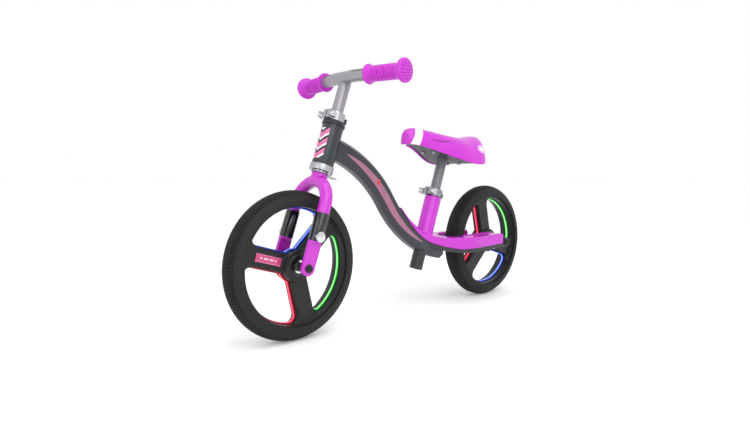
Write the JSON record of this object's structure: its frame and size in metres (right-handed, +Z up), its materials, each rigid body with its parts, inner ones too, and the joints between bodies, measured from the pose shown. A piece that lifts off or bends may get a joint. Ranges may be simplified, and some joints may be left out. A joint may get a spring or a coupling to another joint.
{
  "type": "balance bike",
  "caption": "Child's balance bike with a curved step-through frame, moulded spoked wheels with light rings, height-adjustable bar and saddle on quick clamps.",
  "frame": {"origin": "on the ground, midway between the two axles and between the two sides", "axes": "+X forward, +Y to the rider's left, +Z up"},
  "size_m": [0.936, 0.3352, 0.5539],
  "materials": {
    "steel_dark_paint": "satin",
    "steel_black_paint": "satin",
    "steel_grey_paint": "satin",
    "pink_plastic": "satin",
    "pink_paint": "gloss",
    "zinc_plated_steel": "satin",
    "bearing_steel": "polished",
    "cast_alloy": "satin",
    "black_spacer": "matt",
    "dark_bolt": "satin",
    "skewer_steel": "polished",
    "lever_alloy": "satin",
    "black_plastic": "gloss",
    "chromed_emblem": "polished",
    "steerer_steel": "satin",
    "bar_grey_paint": "satin",
    "pink_rubber": "satin",
    "post_grey_paint": "satin",
    "saddle_skin": "satin",
    "saddle_underside": "matt",
    "tyre_rubber": "matt",
    "rim_plastic": "satin",
    "light_blue": "lit",
    "light_red": "lit",
    "light_green": "lit",
    "name_plate": "satin",
    "white_plastic": "matt"
  },
  "bodies": {
    "frame": {"head_tube": "steel_dark_paint", "main_beam": "steel_dark_paint", "seat_tube": "steel_black_paint", "stay_left": "steel_grey_paint", "stay_right": "steel_grey_paint", "rear_cover": "pink_plastic", "cover_screws": "zinc_plated_steel", "lower_cup": "cast_alloy", "upper_cup": "cast_alloy", "headset_bearings": "bearing_steel", "rear_axle": "zinc_plated_steel", "rear_spacers": "black_spacer", "rear_axle_bolts": "dark_bolt", "seat_collar": "cast_alloy", "seat_skewer": "skewer_steel", "seat_skewer_nut": "cast_alloy"},
    "seat_clamp_lever": {"seat_lever": "lever_alloy", "seat_lever_tip": "black_plastic"},
    "fork": {"fork": "pink_paint", "steerer_tube": "steerer_steel", "crown_race": "zinc_plated_steel", "stop_plate": "zinc_plated_steel", "fork_sleeves": "black_plastic", "fork_emblems": "chromed_emblem", "headset_cap": "cast_alloy", "bar_collar": "cast_alloy", "bar_skewer": "skewer_steel", "bar_skewer_nut": "cast_alloy", "front_axle": "zinc_plated_steel", "front_spacers": "black_spacer", "front_axle_bolts": "dark_bolt"},
    "bar_clamp_lever": {"bar_lever": "lever_alloy", "bar_lever_tip": "black_plastic"},
    "handlebar": {"stem_tube": "bar_grey_paint", "bar_tube": "bar_grey_paint", "grip_left": "pink_rubber", "grip_right": "pink_rubber"},
    "saddle": {"seat_post": "post_grey_paint", "saddle_shell": "saddle_skin", "saddle_base": "saddle_underside", "saddle_bolts": "zinc_plated_steel"},
    "front_wheel": {"front_tyre": "tyre_rubber", "front_rim": "rim_plastic", "front_light_blue": "light_blue", "front_light_red": "light_red", "front_light_green": "light_green", "front_bearings": "bearing_steel", "front_hub_rings": "chromed_emblem", "front_name_plates": "name_plate", "front_light_unit": "white_plastic"},
    "rear_wheel": {"rear_tyre": "tyre_rubber", "rear_rim": "rim_plastic", "rear_light_green": "light_green", "rear_light_red": "light_red", "rear_light_blue": "light_blue", "rear_bearings": "bearing_steel", "rear_hub_rings": "chromed_emblem", "rear_light_unit": "white_plastic"}
  },
  "joints": [
    {"name": "steering", "type": "hinge", "parent": "frame", "child": "fork", "pos_m": [0.24208, 0, 0.34788], "axis": [-0.3387, 0, 0.9409], "range_deg": [-45, 45]},
    {"name": "bar_height", "type": "slide", "parent": "fork", "child": "handlebar", "axis": [-0.3387, 0, 0.9409], "range_m": [-0.03, 0.045]},
    {"name": "bar_clamp", "type": "hinge", "parent": "fork", "child": "bar_clamp_lever", "pos_m": [0.22439, -0.0234, 0.4546], "axis": [-0.3387, 0, 0.9409], "range_deg": [0, 140]},
    {"name": "seat_height", "type": "slide", "parent": "frame", "child": "saddle", "axis": [-0.342, 0, 0.9397], "range_m": [-0.045, 0.05]},
    {"name": "seat_clamp", "type": "hinge", "parent": "frame", "child": "seat_clamp_lever", "pos_m": [-0.0894, -0.0243, 0.29041], "axis": [-0.342, 0, 0.9397], "range_deg": [0, 140]},
    {"name": "front_wheel_spin", "type": "hinge", "parent": "fork", "child": "front_wheel", "pos_m": [0.318, 0, 0.15], "axis": [0, 1, 0], "continuous": true},
    {"name": "rear_wheel_spin", "type": "hinge", "parent": "frame", "child": "rear_wheel", "pos_m": [-0.318, 0, 0.15], "axis": [0, 1, 0], "continuous": true}
  ]
}
